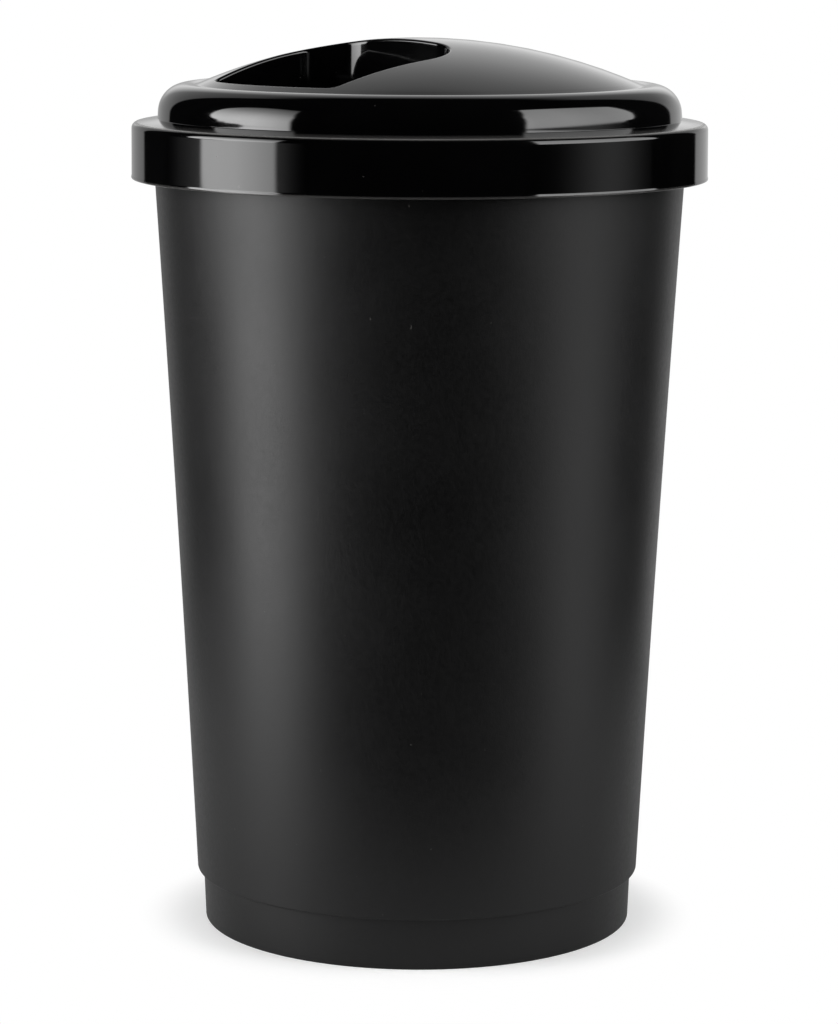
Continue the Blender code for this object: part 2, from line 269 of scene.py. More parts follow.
def bin_line():
    """From the floor's centre up the inside, over the rim, down the outside and under the foot to the axis."""
    inner_step = STEP_HEIGHT + BODY_WALL
    flange_root = rim_top(MOUTH_WALL_RADIUS) - FLANGE_WALL
    lip_low = rim_top(RIM_LIP_RADIUS) - RIM_LIP_DEPTH
    lip_inner = RIM_LIP_RADIUS - BODY_WALL
    foot_inner = PLINTH_BASE_RADIUS - FOOT_WIDTH
    up = np.linspace(inner_step, flange_root, WALL_ROWS)[1:-1]
    corners = [
        (0, FLOOR_TOP, 0),
        (PLINTH_BASE_RADIUS - BODY_WALL, FLOOR_TOP, FLOOR_FILLET),
        (PLINTH_TOP_RADIUS - BODY_WALL, inner_step, INNER_STEP_FILLET),
        (bin_wall(inner_step) - BODY_WALL, inner_step, INNER_STEP_FILLET),
        *[(bin_wall(z) - BODY_WALL, z, 0) for z in up],
        (MOUTH_WALL_RADIUS - BODY_WALL, RIM_HEIGHT, MOUTH_FILLET),
        (RIM_LIP_RADIUS, rim_top(RIM_LIP_RADIUS), RIM_FILLET),
        (RIM_LIP_RADIUS, lip_low, LIP_EDGE_FILLET),
        (lip_inner, lip_low, LIP_EDGE_FILLET),
        (lip_inner, rim_top(lip_inner) - FLANGE_WALL, LIP_ROOT_FILLET),
        (bin_wall(flange_root), flange_root, FLANGE_ROOT_FILLET),
        *[(bin_wall(z), z, 0) for z in up[::-1]],
        (STEP_WALL_RADIUS, STEP_HEIGHT, STEP_FILLET),
        (PLINTH_TOP_RADIUS, STEP_HEIGHT, PLINTH_TOP_FILLET),
        (PLINTH_BASE_RADIUS, 0, FOOT_OUTER_FILLET),
        (foot_inner, 0, FOOT_INNER_FILLET),
        (foot_inner, FOOT_RECESS, RECESS_FILLET),
        (0, FOOT_RECESS, 0),
    ]
    return subdivided(rounded_line(corners, BIN_FILLET_TURN), LONGEST_WALL_STEP)


def textured_black():
    """Black polypropylene off a spark-eroded mould: satin, with a fine even grain, a cloudy sheen and a few
    light specks of dust."""
    material, tree, shader, place = plastic("textured_black", BIN_REFRACTION)
    clouds = noise(tree, place, per_metre=9, detail=4, roughness=0.55)
    grain = noise(tree, place, per_metre=900, detail=2, roughness=0.55)
    coarse_grain = noise(tree, place, per_metre=320, detail=3, roughness=0.55)
    specks = noise(tree, place, per_metre=210, detail=1, roughness=0.55)
    mottle = ramp(tree, maths(tree, "ADD", clouds, coarse_grain), 0.7, 1.3)
    dusty = mixed(tree, ramp(tree, specks, 0.80, 0.86), mixed(tree, mottle, BIN_DARK, BIN_LIGHT), BIN_DUST)
    cloudy_sheen = ramp(tree, clouds, 0.3, 0.7, 0.40, 0.46)
    uneven_sheen = ramp(tree, coarse_grain, 0.3, 0.7, -0.03, 0.03)
    relief = maths(tree, "ADD", grain, coarse_grain)
    fed(tree, shader, {
        "Base Color": dusty,
        "Roughness": maths(tree, "ADD", cloudy_sheen, uneven_sheen),
        "Normal": bump(tree, {"Height": relief, "Strength": 0.35, "Distance": 0.00012}),
    })
    return material


bin_finish = textured_black()
bin_profile = bin_line()
bin_rings = turned_points(bin_profile[1:-1], full_turn(BIN_COLUMNS)).reshape(-1, 3)
bin_poles = np.array([[0, 0, FLOOR_TOP], [0, 0, FOOT_RECESS]])
inner_pole, under_pole = len(bin_rings), len(bin_rings) + 1
first_ring = np.arange(BIN_COLUMNS)
inner_fan = fan(inner_pole, first_ring)
under_fan = fan(under_pole, inner_pole - BIN_COLUMNS + first_ring)[:, ::-1]
bin_quads = grid_faces(len(bin_profile) - 2, BIN_COLUMNS, closed=False)
bin_faces = bin_quads.tolist() + inner_fan.tolist() + under_fan.tolist()
bin_points = np.concatenate([bin_rings, bin_poles])
bin_shell = smooth_piece("bin_shell", bin_points, bin_faces, "bin", bin_finish)
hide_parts("bin_body")


# The bin's gussets and floor ribs
# Thin webs of the same moulding: twelve between the wall and the rim's lip, which keep the mouth round, and
# eight with a ring round the gate under the floor, which keep it flat.

GUSSET_COUNT = 12
GUSSET_WIDTH = 0.0018
GUSSET_START = 0.1856
GUSSET_END = RIM_LIP_RADIUS - 0.0018
GUSSET_EMBED = 0.0014
GUSSET_LOW = rim_top(RIM_LIP_RADIUS) - 0.0138
GUSSET_CURVE = 40

RIB_COUNT = 8
RIB_WIDTH = 0.0020
RIB_START = 0.0188
RIB_END = 0.1488
RIB_LOW = 0.0025
RIB_EMBED = 0.0008

HUB_INNER_RADIUS = 0.0176
HUB_OUTER_RADIUS = 0.0202
HUB_TOP = 0.0076
HUB_FILLET = 0.0008
HUB_FILLET_TURN = math.radians(20)
HUB_COLUMNS = 96

WEB_ROWS = 15
WEB_ROUND_POINTS = 9


def webs(name, start, end, top, low, width, angles):
    """Bars with a half-round lower edge along radial lines. Across, a bar is a U of the given width; along it,
    the two edges are functions of the radius. Each end is closed on its own middle point."""
    half_round = np.linspace(0, math.pi, WEB_ROUND_POINTS)
    across = np.concatenate([[-1, -1], -np.cos(half_round), [1, 1]]) * width / 2
    hang = np.concatenate([[1, 0.5], 0 * half_round, [0.5, 1]])
    bulge = np.concatenate([[0, 0], 1 - np.sin(half_round), [0, 0]]) * width / 2
    radius = start + (end - start) * np.linspace(0, 1, WEB_ROWS)
    floor = low(radius)
    z = floor[:, None] + hang * (top(radius) - floor)[:, None] + bulge
    sections = np.stack([radius[:, None] + 0 * across, 0 * radius[:, None] + across, z], -1)
    bar = np.concatenate([sections.reshape(-1, 3), [sections[0].mean(0), sections[-1].mean(0)]])
    near_middle, far_middle = len(bar) - 2, len(bar) - 1
    near_rim = np.arange(len(across))
    far_rim = near_middle - len(across) + near_rim
    sides = grid_faces(WEB_ROWS, len(across), closed=False)
    ends = np.concatenate([fan(near_middle, near_rim), fan(far_middle, far_rim)[:, ::-1]])
    turn = np.array(angles)[:, None]
    points = np.stack([
        bar[:, 0] * np.cos(turn) - bar[:, 1] * np.sin(turn),
        bar[:, 0] * np.sin(turn) + bar[:, 1] * np.cos(turn),
        bar[:, 2] + 0 * turn,
    ], -1)
    steps = np.arange(len(angles))[:, None, None] * len(bar)
    faces = (sides + steps).reshape(-1, 4).tolist() + (ends + steps).reshape(-1, 3).tolist()
    return smooth_piece(name, points, faces, "bin", bin_finish)


webs(
    "rim_gussets",
    GUSSET_START,
    GUSSET_END,
    lambda radius: rim_top(radius) - GUSSET_EMBED,
    lambda radius: GUSSET_LOW + GUSSET_CURVE * (radius - GUSSET_START) ** 2,
    GUSSET_WIDTH,
    2 * math.pi / GUSSET_COUNT * (np.arange(GUSSET_COUNT) + 0.5),
)
webs(
    "floor_ribs",
    RIB_START,
    RIB_END,
    lambda radius: FOOT_RECESS + RIB_EMBED + 0 * radius,
    lambda radius: RIB_LOW + 0 * radius,
    RIB_WIDTH,
    2 * math.pi / RIB_COUNT * np.arange(RIB_COUNT),
)
hub_corners = [
    (HUB_INNER_RADIUS, HUB_TOP, 0),
    (HUB_INNER_RADIUS, RIB_LOW, HUB_FILLET),
    (HUB_OUTER_RADIUS, RIB_LOW, HUB_FILLET),
    (HUB_OUTER_RADIUS, HUB_TOP, 0),
]
hub_line = rounded_line(hub_corners, HUB_FILLET_TURN)[::-1]
hub_faces = grid_faces(len(hub_line), HUB_COLUMNS, closed=True).tolist()
hub_points = turned_points(hub_line, full_turn(HUB_COLUMNS))
smooth_piece("floor_hub", hub_points, hub_faces, "bin", bin_finish)


# The lid
# One polished moulding: a flat cap of a dome, a rolled shoulder, a sloping ledge and a band that hangs over
# the bin's rim. The opening's edge is rolled over into a collar that hangs inside.

LID_HEIGHT = 0.52727
LID_WALL = 0.0024
DOME_FOOT_RADIUS = 0.1555
DOME_FOOT = LID_HEIGHT + 0.0641
DOME_TOP = LID_HEIGHT + 0.0965
DOME_SPHERE = (DOME_FOOT_RADIUS**2 + (DOME_TOP - DOME_FOOT) ** 2) / (2 * (DOME_TOP - DOME_FOOT))
DOME_FOOT_FILLET = 0.0040
DOME_LEAD = (0.0120, 0.0060)

# Corners (r, height over the band's lower edge, fillet): the shoulder, its wall, the ledge's inner edge, the
# ledge's corner and the start of the bead. Then the bead and the inner edge of the band's lower side, (r, height).
SHOULDER_TO_BAND = [
    (0.1795, 0.0696, 0.0196),
    (0.18178, 0.0450, 0.0800),
    (0.18196, 0.0411, 0.0004),
    (0.2000, 0.0380, 0.0042),
    (0.2002, 0.0022, 0),
]
BEAD = [
    (0.2002, 0.0022), (0.20034, 0.0018), (0.20046, 0.0013), (0.2005, 0.0009),
    (0.20042, 0.0004), (0.2002, 0.0001), (0.1999, 0),
]
BAND_INNER_EDGE = [(0.1990, 0), (0.1981, 0.0001), (0.1979, 0.0004)]

OPENING_INNER_EDGE = 0.0170
OPENING_HALF_WIDTH = 0.0725
OPENING_TAPER = math.radians(7)
OPENING_CORNER = 0.0367
OPENING_OUTER_RADIUS = 0.1447
OPENING_OUTER_CORNER = 0.0097
OPENING_MIDDLE = 0.0800
COLLAR_WALL = 0.0022
COLLAR_LOW = LID_HEIGHT + 0.0290
COLLAR_DRAFT = math.radians(0.8)
COLLAR_EDGE_ROUND = 0.0007
COLLAR_EDGE_RISE = 0.0002
COLLAR_ROOT_GAP = 0.0004
LIP_ROUNDING = 0.0019

LID_COLUMNS = 560
LID_FILLET_TURN = math.radians(5.5)
LID_INNER_FILLET_TURN = math.radians(15)
LID_INNER_FINEST_STEP = 0.0002
LID_INNER_GUARD = 0.0012
LONGEST_LID_STEP = 0.009
STRAIGHT_POINTS = 200
CORNER_POINTS = 400
ARC_POINTS = 300

# Shares of the way along each run of rows.
UP_THE_COLLAR = (0.0, 0.02, 0.3, 0.6, 0.85, 0.98)
OVER_THE_LIP = tuple(np.linspace(0, 1, 13))
OUT_OVER_THE_DOME = (0.012, 0.05, 0.12, 0.21, 0.31, 0.42, 0.53, 0.64, 0.75, 0.85, 0.93, 0.98)
BACK_UNDER_THE_DOME = (0.08, 0.3, 0.5, 0.7, 0.9, 1.0)
DOWN_THE_COLLAR = (0.03, 0.3, 0.7, 0.98, 1.0)
ACROSS_ITS_EDGE = (0.9, 0.68, 0.32, 0.1)

LID_REFRACTION = 1.50
LID_DARK = (0.0006, 0.0006, 0.0007, 1)
LID_LIGHT = (0.0014, 0.0014, 0.0015, 1)
LID_DUST = (0.050, 0.049, 0.047, 1)
# A pale colour painted on as highlights round the ledge's corner, on the ledge and at the band's lower edge.
PAINTED_HIGHLIGHT_COLOUR = (0.115, 0.113, 0.110, 1)


def dome(radius):
    """Height of the dome's skin: a sphere whose top lies on the axis."""
    return DOME_TOP - DOME_SPHERE + np.sqrt(DOME_SPHERE**2 - radius**2)


def opening_edge():
    """Points of the opening's edge and their outward directions in plan, dense: a straight inner side, two
    large corners, tapering sides, two small corners and an arc about the lid's axis. Everything is worked out
    for one half, as (u, w) with u along -Y, and mirrored."""
    side = math.pi / 2 - OPENING_TAPER
    across = OPENING_HALF_WIDTH - OPENING_CORNER
    inner = np.array([OPENING_INNER_EDGE + OPENING_CORNER, across])
    along = np.array([math.cos(OPENING_TAPER), -math.sin(OPENING_TAPER)])
    normal = np.array([math.cos(side), math.sin(side)])
    start = inner + (OPENING_CORNER - OPENING_OUTER_CORNER) * normal
    ahead = start @ along
    run = -ahead + math.sqrt(ahead**2 - start @ start + (OPENING_OUTER_RADIUS - OPENING_OUTER_CORNER) ** 2)
    outer = start + run * along
    outer_angle = math.atan2(outer[1], outer[0])
    angles = np.concatenate([
        np.full(STRAIGHT_POINTS, math.pi),
        np.linspace(math.pi, side, CORNER_POINTS),
        np.full(STRAIGHT_POINTS, side),
        np.linspace(side, outer_angle, ARC_POINTS),
        np.linspace(outer_angle, 0, ARC_POINTS),
    ])
    share = np.linspace(0, 1, STRAIGHT_POINTS)[:, None]
    centres = np.concatenate([
        np.array([inner[0], 0]) + share * [0, across],
        np.tile(inner, (CORNER_POINTS, 1)),
        inner + share * (outer - inner),
        np.tile(outer, (ARC_POINTS, 1)),
        np.zeros((ARC_POINTS, 2)),
    ])
    radii = np.concatenate([
        np.full(STRAIGHT_POINTS + CORNER_POINTS, OPENING_CORNER),
        OPENING_CORNER + share[:, 0] * (OPENING_OUTER_CORNER - OPENING_CORNER),
        np.full(ARC_POINTS, OPENING_OUTER_CORNER),
        np.full(ARC_POINTS, OPENING_OUTER_RADIUS),
    ])
    outwards = np.stack([np.cos(angles), np.sin(angles)], -1)
    points = centres + radii[:, None] * outwards
    flip = np.array([1, -1])
    points, outwards = np.concatenate([points, points * flip]), np.concatenate([outwards, outwards * flip])
    return points[:, ::-1] * flip, outwards[:, ::-1] * flip


def at_bearing(bearing, known, values):
    """Rows of values at new bearings, from those at known ones, straight from each to the next."""
    order = np.argsort(known)
    columns = [np.interp(bearing, known[order], column[order], period=2 * math.pi) for column in values.T]
    return np.stack(columns, -1)


def lid_sections():
    """Closed rows of points round the opening. Column k starts on the opening's edge, where the ray from the
    opening's middle to the dome's foot at azimuth k crosses it, and ends on the band at that azimuth. The rows
    run up the collar, over the lip, out over the dome, shoulder, ledge and band, and back along the inside."""
    azimuth = full_turn(LID_COLUMNS)
    aim = np.stack([np.cos(azimuth), np.sin(azimuth)], -1)
    corners = [
        *[(DOME_FOOT_RADIUS - lead, dome(DOME_FOOT_RADIUS - lead), 0) for lead in DOME_LEAD],
        (DOME_FOOT_RADIUS, DOME_FOOT, DOME_FOOT_FILLET),
        *[(radius, LID_HEIGHT + height, fillet) for radius, height, fillet in SHOULDER_TO_BAND],
    ]
    outside = subdivided(rounded_line(corners, LID_FILLET_TURN), LONGEST_LID_STEP)[2:]
    coarse = rounded_line(corners, LID_INNER_FILLET_TURN, LID_INNER_FINEST_STEP)
    coarse = subdivided(coarse, LONGEST_LID_STEP, LID_INNER_GUARD)[2:]
    along = np.gradient(coarse, axis=0)
    along /= np.linalg.norm(along, axis=1)[:, None]
    inside = (coarse + LID_WALL * np.stack([along[:, 1], -along[:, 0]], -1))[::-1]
    edge = np.array(BEAD + BAND_INNER_EDGE) + [0, LID_HEIGHT]
    foot = aim * outside[0, 0]
    inner_foot = aim * inside[-1, 0]

    bearing = np.arctan2(foot[:, 1] + OPENING_MIDDLE, foot[:, 0])
    plan, outwards = opening_edge()
    edge_bearing = np.arctan2(plan[:, 1] + OPENING_MIDDLE, plan[:, 0])
    start = at_bearing(bearing, edge_bearing, plan)
    away = at_bearing(bearing, edge_bearing, outwards)
    away /= np.linalg.norm(away, axis=1)[:, None]

    slope = -(start * away).sum(1) / np.sqrt(DOME_SPHERE**2 - (start**2).sum(1))
    lip_end = np.arctan2(1, slope)
    lip_reach = LIP_ROUNDING * (1 - np.cos(lip_end))
    lip_centre = dome(np.hypot(*start.T)) + slope * lip_reach - LIP_ROUNDING * np.sin(lip_end)

    def rows(shares):
        """One row of points for each share."""
        return np.array(shares)[:, None]

    def beside_opening(distance, height):
        """The opening's edge moved outwards by a distance, at a height."""
        ground = start + distance[..., None] * away
        return np.concatenate([ground, (height + 0 * distance)[..., None]], -1)

    def drafted(height):
        """How far the collar's inner side is out from the opening's edge at a height."""
        return wall_top_reach - (wall_top - height) * math.tan(COLLAR_DRAFT)

    wall_top = lip_centre + LIP_ROUNDING * math.sin(COLLAR_DRAFT)
    wall_top_reach = LIP_ROUNDING * (1 - math.cos(COLLAR_DRAFT))
    wall_low = COLLAR_LOW + COLLAR_EDGE_ROUND
    wall_z = wall_low + rows(UP_THE_COLLAR) * (wall_top - wall_low)
    inner_wall = beside_opening(drafted(wall_z), wall_z)
    angle = COLLAR_DRAFT + rows(OVER_THE_LIP) * (lip_end - COLLAR_DRAFT)
    lip = beside_opening(LIP_ROUNDING * (1 - np.cos(angle)), lip_centre + LIP_ROUNDING * np.sin(angle))
    dome_start = lip[-1, :, :2]
    dome_plan = dome_start + rows(OUT_OVER_THE_DOME)[..., None] * (foot - dome_start)
    dome_rows = np.concatenate([dome_plan, dome(np.linalg.norm(dome_plan, axis=-1))[..., None]], -1)

    collar_root = start + (COLLAR_WALL + COLLAR_ROOT_GAP) * away
    under_plan = inner_foot + rows(BACK_UNDER_THE_DOME)[..., None] * (collar_root - inner_foot)
    under_radius = np.linalg.norm(under_plan, axis=-1)
    skin = LID_WALL * DOME_SPHERE / np.sqrt(DOME_SPHERE**2 - under_radius**2)
    under_rows = np.concatenate([under_plan, (dome(under_radius) - skin)[..., None]], -1)
    root_height = under_rows[-1, :, 2]
    outer_z = root_height + rows(DOWN_THE_COLLAR) * (wall_low - root_height)
    outer_wall = beside_opening(COLLAR_WALL + drafted(outer_z), outer_z)
    bottom_reach = drafted(COLLAR_LOW) + COLLAR_WALL * rows(ACROSS_ITS_EDGE)
    bottom_rise = rows((COLLAR_EDGE_RISE, 0, 0, COLLAR_EDGE_RISE))
    bottom = beside_opening(bottom_reach, COLLAR_LOW + bottom_rise)

    turned_out = turned_points(np.concatenate([outside[:-1], edge, inside[1:]]), azimuth)
    return np.concatenate([inner_wall, lip, dome_rows, turned_out, under_rows, outer_wall, bottom])


def vector_maths(tree, operation, output, *values):
    """A vector maths node over vectors or outputs of other nodes."""
    node = tree.nodes.new("ShaderNodeVectorMath")
    node.operation = operation
    return fed(tree, node, dict(enumerate(values))).outputs[output]


def painted_highlight_places(tree, place):
    """Where pale colour is painted on the lid as highlights, from its radius and height: a painted highlight line
    round the ledge's corner, painted light on the ledge that comes in by degrees from its inner side, and a faint
    painted highlight on the band's lower edge."""
    flat_place = vector_maths(tree, "MULTIPLY", "Vector", place, (1, 1, 0))
    radius = vector_maths(tree, "LENGTH", "Value", flat_place)
    height = vector_maths(tree, "DOT_PRODUCT", "Value", place, (0, 0, 1))
    on_top = ramp(tree, height, LID_HEIGHT + 0.0364, LID_HEIGHT + 0.0372)
    ledge_inner = ramp(tree, radius, 0.1860, 0.1968, 0, 0.5)
    ledge_outer = ramp(tree, radius, 0.1976, 0.1990, 1, 0)
    line_inner = ramp(tree, radius, 0.1958, 0.1967)
    line_outer = ramp(tree, radius, 0.1974, 0.1984, 1, 0)
    on_band = ramp(tree, radius, 0.1985, 0.1995)
    low_down = ramp(tree, height, LID_HEIGHT + 0.0008, LID_HEIGHT + 0.0018, 0.35, 0)
    ledge = maths(tree, "MULTIPLY", ledge_inner, ledge_outer, on_top)
    line = maths(tree, "MULTIPLY", line_inner, line_outer, on_top)
    return maths(tree, "ADD", ledge, line, maths(tree, "MULTIPLY", on_band, low_down))


def polished_black():
    """Black plastic off a polished mould: a deep gloss with faint flow waves, hairline scratches, a few specks of
    dust and hardly any colour. Where highlights are painted on, round the ledge's corner, on the ledge and at the
    band's lower edge, it is duller and paler: painted highlights in a pale colour."""
    material, tree, shader, place = plastic("polished_black", LID_REFRACTION)
    mapping = tree.nodes.new("ShaderNodeMapping")
    stretched = fed(tree, mapping, {"Vector": place, "Scale": (1, 1, 14)}).outputs["Vector"]
    haze = noise(tree, place, per_metre=14, detail=4)
    dust = noise(tree, place, per_metre=260, detail=1)
    flow = noise(tree, place, per_metre=22, detail=1)
    scratches = noise(tree, stretched, per_metre=60, detail=3)
    tint = mixed(tree, ramp(tree, haze, 0.3, 0.7), LID_DARK, LID_LIGHT)
    dusty = mixed(tree, ramp(tree, dust, 0.80, 0.85), tint, LID_DUST)
    # The share of painted highlight: pale colour and more roughness where the lid's highlights are painted on.
    painted_highlight = maths(tree, "MULTIPLY", painted_highlight_places(tree, place), ramp(tree, haze, 0.2, 0.8, 0.75, 1.1))
    hazy_sheen = ramp(tree, haze, 0.3, 0.7, 0.045, 0.075)
    scratched_sheen = ramp(tree, scratches, 0.62, 0.75, 0, 0.03)
    painted_highlight_roughness = ramp(tree, painted_highlight, 0, 1, 0, 0.22)
    waves = bump(tree, {"Height": flow, "Strength": 0.10, "Distance": 0.0006})
    fed(tree, shader, {
        # The pale painted highlight is mixed into the base colour here.
        "Base Color": mixed(tree, painted_highlight, dusty, PAINTED_HIGHLIGHT_COLOUR),
        "Roughness": maths(tree, "ADD", hazy_sheen, scratched_sheen, painted_highlight_roughness),
        "Normal": bump(tree, {"Height": scratches, "Strength": 0.03, "Distance": 0.00004, "Normal": waves}),
    })
    return material


lid_rows = lid_sections()
lid_faces = grid_faces(len(lid_rows), LID_COLUMNS, closed=True).tolist()
lid_shell = smooth_piece("lid_shell", lid_rows, lid_faces, "lid", polished_black())
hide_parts("lid")


# The studio
# A white table top under the bin with a lit disc below it, a white sheet behind and a tall softbox on each
# side, in a dark room.

TABLE_RADIUS = 0.85
TABLE_RINGS = 8
TABLE_COLUMNS = 96
TABLE_WHITE = 0.80
TABLE_LIFT = 0.30
TABLE_HOLE_RADIUS = 0.146
SHADOW_REACH = (0.152, 0.200)
FRONT_OF_THE_BIN = (0.30, 0.42)
DIMMED_NEAR, DIMMED_IN_FRONT = 0.12, 0.62

PANEL_DISTANCE = 1.6
PANEL_U = np.linspace(-1.2, 1.2, 97)
PANEL_Z = np.linspace(-0.3, 2.7, 241)
PANEL_SIDE_FADE = 0.05
PANEL_TOP_FADE = 0.10

# Tables of pairs for the left panel: its low edge in u at a height, and its glow at a u and at a height.
LEFT_AZIMUTH = 78
LEFT_LOW_EDGE = [
    (0.40, -0.22), (0.43, -0.34), (0.54, -0.34), (0.555, 0.0), (0.61, 0.0), (0.63, -0.41), (0.66, -0.48),
    (0.70, -0.54), (0.76, -0.59), (0.82, -0.615), (0.90, -0.63),
]
LEFT_ACROSS = [(-0.62, 0.80), (-0.30, 0.87), (-0.10, 0.96), (0.15, 1.0), (0.40, 0.87), (0.69, 0.66)]
LEFT_UP = [
    (-0.30, 2.6), (0.03, 8.8), (0.15, 5.5), (0.35, 3.9), (0.40, 6.4), (0.58, 6.6), (0.62, 9.7), (0.78, 9.6),
    (1.00, 8.0), (1.45, 3.7), (1.95, 1.1),
]
HALO_EDGES = (-0.34, 0.69)
HALO_HEIGHTS = (0.38, 0.56)

# The same for the right panel: its high edge in u, its glow at a u and at a height, and the faint light below.
RIGHT_AZIMUTH = -76
RIGHT_HIGH_EDGE = [(0.58, 0.66), (0.61, 0.46), (0.65, 0.58), (0.68, 0.69), (0.72, 0.755), (0.80, 0.80), (1.10, 0.86)]
RIGHT_ACROSS = [(-0.95, 5.8), (-0.80, 5.25), (-0.30, 5.05), (0.0, 4.35), (0.30, 3.7), (0.60, 3.45), (0.85, 3.4)]
RIGHT_UP = [(1.0, 1.0), (2.5, 0.80)]
RIGHT_FAINT = [(-0.30, 0.8), (0.05, 3.2), (0.15, 1.3), (0.25, 0.50), (0.35, 0.36), (0.42, 0.46)]

LAMP_RADIUS = 1.3
LAMP_HEIGHT = -0.7
LAMP_COLUMNS = 64
LAMP_STRENGTH = 1.2

DIFFUSE_GREY = 0.30
ROOM_GREY = 0.004
SHEET_GREY = 0.36
SHEET_LOW_EXTRA = 0.14
SHEET_LOW_RIGHT_EXTRA = 0.22
SHEET_MIDDLE_EXTRA = 0.55


def studio_piece(name, points, faces, material):
    """A mesh object that stands in the studio and is no piece of the part."""
    mesh = bpy.data.meshes.new(name)
    mesh.from_pydata(points.reshape(-1, 3).tolist(), [], faces)
    mesh.materials.append(material)
    piece = bpy.data.objects.new(name, mesh)
    bpy.context.scene.collection.objects.link(piece)
    return piece


def empty_tree(owner):
    """The node tree of a material or world, cleared."""
    owner.use_nodes = True
    owner.node_tree.nodes.clear()
    return owner.node_tree


def end_in(tree, kind, surface):
    """Links a surface to a new output node."""
    fed(tree, tree.nodes.new(kind), {"Surface": surface})


def plain_light(name, strength):
    """A material of light alone, by a number or by the attribute of that name on the mesh."""
    material = bpy.data.materials.new(name)
    tree = empty_tree(material)
    if isinstance(strength, str):
        attribute = tree.nodes.new("ShaderNodeAttribute")
        attribute.attribute_name = strength
        strength = attribute.outputs["Fac"]
    light = fed(tree, tree.nodes.new("ShaderNodeEmission"), {"Strength": strength})
    end_in(tree, "ShaderNodeOutputMaterial", light.outputs["Emission"])
    return material


def table_white():
    """Matt white for light and shadow, with a little light of its own for the camera, which becomes plain white
    a few centimetres from the bin. In reflections it is dimmer, most of all in front of the bin. It is
    see-through from below, and right under the bin, so that the underside gets light too."""
    material = bpy.data.materials.new("table_white")
    tree = empty_tree(material)
    path = tree.nodes.new("ShaderNodeLightPath")
    to_camera, in_reflection = path.outputs["Is Camera Ray"], path.outputs["Is Glossy Ray"]
    place = tree.nodes.new("ShaderNodeTexCoord").outputs["Object"]
    reach = vector_maths(tree, "LENGTH", "Value", place)
    forward = vector_maths(tree, "DOT_PRODUCT", "Value", place, TO_THE_CAMERA)
    in_front = maths(tree, "MULTIPLY", ramp(tree, forward, *FRONT_OF_THE_BIN), DIMMED_IN_FRONT)
    dimmed = maths(tree, "MULTIPLY", in_reflection, maths(tree, "ADD", DIMMED_NEAR, in_front))
    matt = fed(tree, tree.nodes.new("ShaderNodeBsdfDiffuse"), {"Color": maths(tree, "SUBTRACT", TABLE_WHITE, dimmed)})
    lifted = maths(tree, "MULTIPLY", to_camera, TABLE_LIFT)
    lift = fed(tree, tree.nodes.new("ShaderNodeEmission"), {"Strength": lifted})
    near = tree.nodes.new("ShaderNodeAddShader")
    fed(tree, near, {0: matt.outputs["BSDF"], 1: lift.outputs["Emission"]})
    white = tree.nodes.new("ShaderNodeEmission")
    fade = tree.nodes.new("ShaderNodeMixShader")
    far = maths(tree, "MULTIPLY", ramp(tree, reach, *SHADOW_REACH, kind="SMOOTHSTEP"), to_camera)
    fed(tree, fade, {"Fac": far, 1: near.outputs["Shader"], 2: white.outputs["Emission"]})
    from_below = tree.nodes.new("ShaderNodeNewGeometry").outputs["Backfacing"]
    seen_through = maths(tree, "MAXIMUM", maths(tree, "LESS_THAN", reach, TABLE_HOLE_RADIUS), from_below)
    clear = tree.nodes.new("ShaderNodeBsdfTransparent").outputs["BSDF"]
    sides = tree.nodes.new("ShaderNodeMixShader")
    fed(tree, sides, {"Fac": seen_through, 1: fade.outputs["Shader"], 2: clear})
    end_in(tree, "ShaderNodeOutputMaterial", sides.outputs["Shader"])
    return material


def table_top():
    """A flat disc: rings at radii that grow evenly, round one middle point."""
    radii = np.linspace(0, TABLE_RADIUS, TABLE_RINGS + 1)[1:]
    rings = turned_points(np.stack([radii, 0 * radii], -1), full_turn(TABLE_COLUMNS)).reshape(-1, 3)
    faces = grid_faces(TABLE_RINGS, TABLE_COLUMNS, closed=False).tolist()
    faces += fan(len(rings), np.arange(TABLE_COLUMNS)).tolist()
    studio_piece("table_top", np.concatenate([rings, [[0, 0, 0]]]), faces, table_white())


def between(value, pairs):
    """The value's place in a table of pairs, straight from one to the next and level beyond its ends."""
    return np.interp(value, *zip(*pairs))


def edge_share(distance, fade):
    """From 0 outside to 1 inside over the width of a fade, with a half on the edge."""
    return np.clip(distance / fade + 0.5, 0, 1)


def softbox(name, aside, outline, glow, spill):
    """An upright lit panel that faces the bin's axis, at an angle in degrees to the left of the camera. It is a
    grid of u, metres anticlockwise round the bin as seen from above, and height z, a little of it below the
    table. Its light is the glow at (u, z) inside the outline, which is a low and a high edge in u that depend on
    z and a top edge that depends on u, all faded over a few centimetres, and the spill outside it."""
    azimuth = CAMERA_AZIMUTH - math.radians(aside)
    u, z = np.meshgrid(PANEL_U, PANEL_Z)
    low, high, top = outline(u, z)
    sides = edge_share(u - low, PANEL_SIDE_FADE) * edge_share(high - u, PANEL_SIDE_FADE)
    inside = sides * edge_share(top - z, PANEL_TOP_FADE)
    x = math.sin(azimuth) * PANEL_DISTANCE + math.cos(azimuth) * u
    y = -math.cos(azimuth) * PANEL_DISTANCE + math.sin(azimuth) * u
    grid = grid_faces(len(PANEL_Z), len(PANEL_U), closed=False).reshape(-1, len(PANEL_U), 4)
    faces = grid[:, :-1].reshape(-1, 4).tolist()
    panel = studio_piece(name, np.stack([x, y, z], -1), faces, plain_light(name, "glow"))
    light = glow(u, z) * inside + spill(u, z) * (1 - inside)
    panel.data.attributes.new("glow", "FLOAT", "POINT").data.foreach_set("value", light.ravel())
    panel.visible_camera = False


